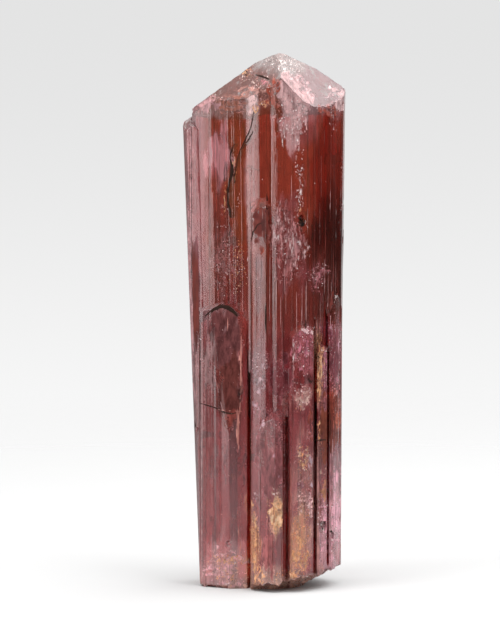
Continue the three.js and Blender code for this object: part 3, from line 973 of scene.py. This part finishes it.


# Clusters of small flakes: place, half size, how many, least and greatest size in hundredths, and how long
# each flake is for its width.
# Pale flakes: white specks of healed fractures, partly painted glints of small fracture faces.
PALE_FLAKES = [
    (2, 78, 2.2, 4.5, 260, 5, 28, 1.4),
    (3.2, 70, 0.8, 9, 150, 4, 20, 1.8),
    (8.8, 77.5, 0.8, 2.2, 40, 4, 22, 1.5),
    (10.5, 63.5, 0.3, 0.9, 14, 6, 20, 1.2),
    (-9.4, 61, 1.2, 4, 70, 3, 16, 1.6),
    (-6.9, 64.5, 0.8, 1.6, 30, 3, 15, 1.2),
    (1.6, 57.5, 3.6, 7, 260, 2.5, 13, 3.2),
    (6.4, 52.2, 2.2, 2.6, 130, 4, 20, 1.1),
    (-8.4, 53.2, 3.1, 5.4, 420, 3, 16, 1.1),
    (-3.2, 38.3, 1.7, 2, 80, 4, 18, 1),
    (3.9, 40, 1.9, 4.2, 180, 3, 18, 1.5),
    (3.3, 33.2, 1.9, 2.2, 110, 4, 20, 1.1),
    (8.2, 38, 2.2, 6.5, 240, 3, 18, 1.5),
    (-13.6, 38, 0.8, 5, 60, 3, 16, 1.8),
    (0.2, 35.5, 1.7, 3.8, 130, 3, 16, 1),
    (-1.5, 27, 2.2, 2, 110, 3, 18, 1),
    (3.9, 20, 2, 7, 150, 3, 18, 1.2),
    (-9, 3.6, 4.2, 4.6, 160, 3, 18, 1.1),
    (8, 10.5, 2.4, 5, 240, 4, 24, 1.2),
    (-6.8, 85, 5.2, 2.6, 160, 3, 14, 1.1),
    (3, 84.6, 6.5, 3.6, 160, 3, 13, 1.3),
    (-2, 16, 9, 15, 160, 2, 10, 1.2),
    (-2, 52, 12, 32, 420, 2, 10, 1.5),
]
IRON_FLAKES = [
    (-6.9, 53.4, 1.5, 5.2, 150, 4, 20, 1),
    (6.3, 37.2, 0.7, 6, 110, 4, 22, 1.3),
    (3.9, 22.6, 1.3, 2.8, 60, 5, 24, 1),
    (-0.7, 13, 1.5, 3.2, 90, 5, 24, 1),
    (-4.2, 8, 1, 8, 130, 5, 24, 1.2),
    (3.4, 8, 2, 7, 220, 5, 26, 1.1),
    (-7.6, 4.6, 4, 1.8, 110, 4, 22, 1),
    (1, 2.4, 3.4, 1.8, 90, 5, 24, 1),
]
DARK_FLAKES = [
    (3.6, 61.6, 0.55, 1.1, 70, 12, 42, 1.3),
    (-7.6, 52.5, 2.2, 5, 50, 4, 16, 1),
    (6.4, 38.5, 0.5, 5.4, 34, 4, 20, 1.3),
    (7.3, 10.5, 0.4, 0.5, 26, 10, 32, 1),
    (8.7, 9.2, 0.35, 0.6, 24, 8, 28, 1.2),
    (6.4, 5, 0.6, 3, 14, 4, 16, 1.2),
    (-5.6, 86, 0.5, 0.8, 22, 5, 22, 1.1),
    (-1.5, 88.2, 0.4, 0.35, 12, 4, 18, 1),
    (-1.4, 26.8, 1.4, 1.2, 26, 3, 14, 1),
    (-10.2, 65.5, 0.7, 0.5, 12, 5, 18, 1),
    (-2, 45, 11, 42, 170, 2, 10, 1.3),
]
CLUMP = (0.9, 1.4)
CLUMP_FROM = -0.05
FLAKE_DEPTH = (-0.03, 0.03)
FLAKE_TILT = 0.35
FLAKE_TURN = 0.5
FLAKE_THICK = 0.25
CLUMPS_APART = 3.7
MOSTLY_SMALL = 2.5
TRIES = 12  # how many places are tried for each flake


def gathered(across, up, key):
    """Whether a flake may lie at a place: flakes gather in ragged clumps."""
    coarse = noise.noise(Vector((across / CLUMP[0], up / CLUMP[1], key)))
    fine = noise.noise(Vector((across / CLUMP[0] * 3, up / CLUMP[1] * 3, key + 7)))
    return coarse + 0.5 * fine > CLUMP_FROM


def turned(vector, spread, rng):
    """A vector moved by chance."""
    return vector + Vector([rng.gauss(0, spread) for _ in range(3)])


def flake(solids, surface, spot, size, longer, rng):
    """One flake at the surface, lying nearly along it."""
    seen = surface.at(*spot)
    if seen is None:
        return
    point, normal = seen
    flat = turned(normal, FLAKE_TILT, rng).normalized()
    along = turned(Vector((0, 0, 1)), FLAKE_TURN, rng).cross(flat).normalized()
    wide = size * MM
    axes = (along * wide, flat.cross(along) * wide * longer, flat * wide * FLAKE_THICK)
    solids.splinter(point - normal * rng.uniform(*FLAKE_DEPTH) * MM, axes, rng)


def scatter(solids, surface, clusters, rng):
    """Clusters of flakes."""
    for key, (across, up, wide, tall, count, least, most, longer) in enumerate(clusters):
        least, most, left = least / HUNDRED, most / HUNDRED, count
        for _ in range(TRIES * count):
            spot = (across + wide * rng.uniform(-1, 1), up + tall * rng.uniform(-1, 1))
            out = math.hypot((spot[0] - across) / wide, (spot[1] - up) / tall)
            if out > rng.uniform(0.6, 1.1) or not gathered(*spot, key * CLUMPS_APART):
                continue
            size = least + (most - least) * rng.random() ** MOSTLY_SMALL
            flake(solids, surface, spot, size, longer, rng)
            left -= 1
            if not left:
                break


# Cracks: lines of places on the front with the crack's width at each in hundredths, and how far in they go.
CRACKS = [
    ([(-4.3, 79.4, 5), (-4.5, 78, 14), (-5, 76.3, 10), (-5.7, 74.7, 16), (-6.4, 73.2, 8),
      (-6.9, 71.6, 12), (-7.2, 70, 14), (-7.6, 68, 6)], 1.1),
    ([(-4.4, 76.2, 5), (-5, 75, 18), (-5.8, 73.8, 10), (-6.2, 73, 4)], 0.8),
    ([(-7.4, 74, 5), (-8, 73, 20), (-8.2, 71.6, 14), (-7.9, 70.2, 44), (-8, 69, 60),
      (-8.4, 67.4, 34), (-8.7, 65.8, 48), (-8.5, 64, 40), (-8.3, 62.8, 42),
      (-7.9, 61.2, 14)], 1.6),
    ([(-7.9, 69.4, 10), (-7.4, 68.4, 16), (-7.5, 67, 5)], 0.8),
    ([(-9, 71, 4), (-9.2, 69, 10), (-9.1, 67, 5)], 0.6),
    ([(-8.4, 61, 5), (-8.2, 59.6, 14), (-8.4, 58.2, 5)], 0.8),
    ([(-14.4, 80, 4), (-14.8, 78.6, 14), (-14.6, 77.2, 5)], 0.4),
    ([(-12.6, 45.1, 8), (-12, 45.7, 16), (-11, 46.5, 26), (-9.7, 47.1, 40), (-8.6, 46.9, 42),
      (-7.6, 46.2, 32), (-6.7, 45.2, 12)], 0.5),
    ([(-13.2, 30.8, 5), (-11.8, 30.5, 10), (-10.4, 30.1, 12), (-9.2, 29.5, 18), (-7.9, 29.3, 14),
      (-6.8, 29.6, 6)], 1.4),
    ([(4.6, 35.6, 5), (5.1, 34.9, 16), (5.7, 35.3, 6)], 0.6),
    ([(6.2, 25, 5), (7, 25.1, 14), (8, 25, 5)], 0.8),
    ([(-4, 85.4, 8), (-3.2, 85.2, 22), (-2.2, 84.9, 16), (-1.5, 84.6, 6)], 0.7),
    ([(-4.7, 58, 10), (-4.4, 59.6, 14), (-3.6, 60.9, 10), (-2.6, 61.3, 6)], 0.4),
]
CRACK_WIDE = 1.6
CRACK_RISE = 0.035
CRACK_GAP = 1.4
CRACK_JAGGED = 0.06


def open_crack(solids, surface, route, reach, rng):
    """A jagged crack that runs into the crystal from a line on its surface."""
    spots = []
    for start, end in zip(route, route[1:]):
        for share in (0.0, 0.34, 0.67):
            across, up, wide = (a + (b - a) * share for a, b in zip(start, end))
            across += rng.uniform(-CRACK_JAGGED, CRACK_JAGGED)
            spots.append((across, up, wide / HUNDRED * CRACK_WIDE * rng.uniform(0.7, 1.2)))
    follow(solids, surface, spots, CRACK_RISE, reach, CRACK_GAP)


# Fine needles and growth lines: kind, how many, where (across and up), length, and width in hundredths.
NEEDLES = [
    ("maroon", 30, (-5, 10.4), (6, 74), (3, 16), (3, 9)),
    ("dark", 16, (-5, 10.4), (10, 70), (1.5, 7), (3, 7)),
    ("pale", 16, (-5, 10.4), (6, 70), (2, 9), (2, 5)),
    ("maroon", 12, (-14.4, -6), (48, 74), (3, 16), (3, 7)),
    ("maroon", 26, (-2, 10), (40, 54), (3, 10), (4, 10)),
    ("pale", 14, (-2, 10), (40, 50), (2, 8), (3, 6)),
    ("maroon", 22, (-4, 9), (3, 24), (3, 12), (4, 10)),
]
SIDES_END = 79  # the height where the crystal's sides give way to its point


def needles(kinds, surface, rng):
    """Straight lines along the crystal at random places."""
    for kind, count, across_range, up_range, lengths, widths in NEEDLES:
        for _ in range(count):
            across, up = rng.uniform(*across_range), rng.uniform(*up_range)
            top = min(up + rng.uniform(*lengths), SIDES_END)
            trace(kinds[kind], surface, (across, up), (across, top), rng.uniform(*widths), rng)


# The sides that the photograph doesn't show, which are dressed by chance: azimuth and half width.
OTHER_SIDES = [(90, 6.5), (180, 11.0), (270, 6.5)]
SIDE_MILKY = [(50, 26, 26), (36, 15, 15), (30, 8, 6)]
# Layers on a side: kind, how many, ranges of height, of half size across and up and of how full they are,
# grain, and how far apart their noises are.
SIDE_LAYERS = [
    ("milky", 5, (8, 82), (0.5, 1.6), (1.5, 5), (0, 40), (80, 180), 5.3),
    ("pale", 9, (6, 82), (0.3, 1.4), (1, 4.5), (-15, 25), (16, 100), 3.1),
    ("iron", 7, (2, 20), (0.4, 1.6), (0.8, 4), (0, 45), (40, 70), 7.7),
]
SIDE_FLAKES, SIDE_CRACKS, SIDE_LINES = 5, 4, 40
SIDE_CRACK_DEEP = 0.9


def side_crack(start, rng):
    """A crack's route, upwards from a place and leaning to one side."""
    lean = rng.choice((-1, 1)) * rng.uniform(0.2, 2.5)
    return [(start[0] + lean * step * rng.uniform(0.7, 1.1), start[1] + step * rng.uniform(0.8, 2.0),
             rng.uniform(5, 22)) for step in range(5)]


def dress_side(kinds, surface, half_width, rng):
    """Veils, stains, flakes, cracks and growth lines on a side."""
    def spot(lower, upper):
        return rng.uniform(-half_width, half_width), rng.uniform(lower, upper)

    for kind, count, heights, across, up, full, grain, apart in SIDE_LAYERS:
        for key in range(count):
            own = rng.choice(SIDE_MILKY) if kind == "milky" else ()
            half = (rng.uniform(*across), rng.uniform(*up))
            shape = (*spot(*heights), *half, rng.uniform(*full), *grain, *own)
            layer(kinds[kind], surface, shape, surface.azimuth + key * apart, rng)
    scatter(kinds["pale"], surface, [
        (*spot(6, 80), rng.uniform(1, 3), rng.uniform(2, 6), 70, 3, 20, 1.6)
        for _ in range(SIDE_FLAKES)
    ], rng)
    scatter(kinds["dark"], surface, [(0, 42, half_width, 40, 60, 3, 14, 1.2)], rng)
    for _ in range(SIDE_CRACKS):
        open_crack(kinds["dark"], surface, side_crack(spot(8, 76), rng), SIDE_CRACK_DEEP, rng)
    for _ in range(SIDE_LINES):
        across, up = spot(3, 74)
        top = min(up + rng.uniform(3, 24), 80)
        kind = rng.choice(("maroon", "maroon", "dark", "pale"))
        trace(kinds[kind], surface, (across, up), (across, top), rng.uniform(3, 14), rng)


def tinted_material(name, stretch, scale, shades, roughness, refraction):
    """The colours stored on a piece, mottled by a noise."""
    material, g = new_material(name)
    share = g.noise(g.millimetres(), (1, 1, stretch), scale, 5, 0.7)
    g.finish("ShaderNodeBsdfPrincipled", {
        "Base Color": g.times(g.attribute("tint")["Color"], g.between(share, 0.3, 0.7, *shades)),
        "Roughness": g.between(share, 0.3, 0.7, *roughness), "IOR": refraction,
    })
    return material


# Each kind: its piece's name; its material's name, stretch and scale of the mottle, ranges of shade and of
# roughness, and refraction; how its layers lie, which is the height of their top, low and full, and how much
# their edges crumble; and its colours in hundredths, faint to strong. Milky layers bring their own.
KINDS = {
    # Pale pieces carry painted highlights and glints besides healed fractures; milky ones carry painted
    # light besides veils.
    "pale": ("healed_fractures_and_painted_highlights", ("healed_fracture_and_painted_highlight", 0.7, 2.4, (0.6, 1.05), (0.15, 0.4), 1.6),
             (0.004, 0.03, 0.1), (40, 16, 16), (62, 36, 36), (95, 86, 86)),
    "milky": ("milky_veils_and_painted_light", ("milky_veil_and_painted_light", 0.4, 1.2, (0.5, 1.5), (0.04, 0.12), 1.35), (0.002, 0.008, 0.3)),
    "iron": ("iron_stains", ("iron_stain", 0.6, 1.2, (0.6, 1.3), (0.3, 0.6), 1.5),
             (0.003, 0.02, 0.35), (42, 13, 5), (62, 27, 11), (76, 49, 31)),
    # Dark and maroon pieces also carry the painted shade in grooves, besides cracks, inclusions and needles.
    "dark": ("cracks_and_groove_shade", ("crack_and_groove_shade", 1, 2, (0.6, 1.4), (0.5, 0.8), 1.2),
             None, (5, 2, 1.2), (1, 0.8, 0.8)),
    "maroon": ("groove_shade_and_needles", ("needle_and_groove_shade_maroon", 0.2, 1.2, (0.6, 1.4), (0.4, 0.7), 1.3),
               (0.004, 0.02, 0.05), (20, 4, 3), (9, 1.5, 1.2)),
    "coral": ("coral_streaks", ("coral_streak", 0.3, 1.6, (0.7, 1.2), (0.2, 0.45), 1.5),
              (0.003, 0.015, 0.2), (42, 10, 7), (74, 36, 31)),
}
LAYERS = {
    "milky": MILKY_LAYERS, "maroon": MAROON_LAYERS, "iron": IRON_LAYERS, "coral": CORAL_LAYERS,
    "pale": PALE_LAYERS,
}
FLAKES = {"pale": PALE_FLAKES, "iron": IRON_FLAKES, "dark": DARK_FLAKES}
LAYERS_APART = 5.3  # how far apart the noises of layers are
SEED = 7


def dress(body):
    """Adds everything that is grown, broken or stained into the crystal, and the light and shade painted on
    it.
    """
    corners = [vertex.co for vertex in body.data.vertices]
    tree = BVHTree.FromPolygons(corners, [polygon.vertices for polygon in body.data.polygons])
    surface = Surface(tree)
    rng = random.Random(SEED)
    kinds = {}
    for kind, (name, look, lie, *shades) in KINDS.items():
        kinds[kind] = Solids(name, tinted_material(*look), lie, *shades)
    for kind, shapes in LAYERS.items():
        for key, shape in enumerate(shapes):
            layer(kinds[kind], surface, shape, key * LAYERS_APART, rng)
    for kind, clusters in FLAKES.items():
        scatter(kinds[kind], surface, clusters, rng)
    for route, reach in CRACKS:
        open_crack(kinds["dark"], surface, route, reach, rng)
    for kind, across, up, end_across, end_up, wide in LINES:
        trace(kinds[kind], surface, (across, up), (end_across, end_up), wide, rng)
    needles(kinds, surface, rng)
    for azimuth, half_width in OTHER_SIDES:
        dress_side(kinds, Surface(tree, azimuth), half_width, rng)
    for solids in kinds.values():
        solids.piece()


bpy.context.scene.view_settings.view_transform = "Standard"
camera()
world()
for name, box in SOFTBOXES.items():
    softbox(name, *box)
floor()
dress(crystal())
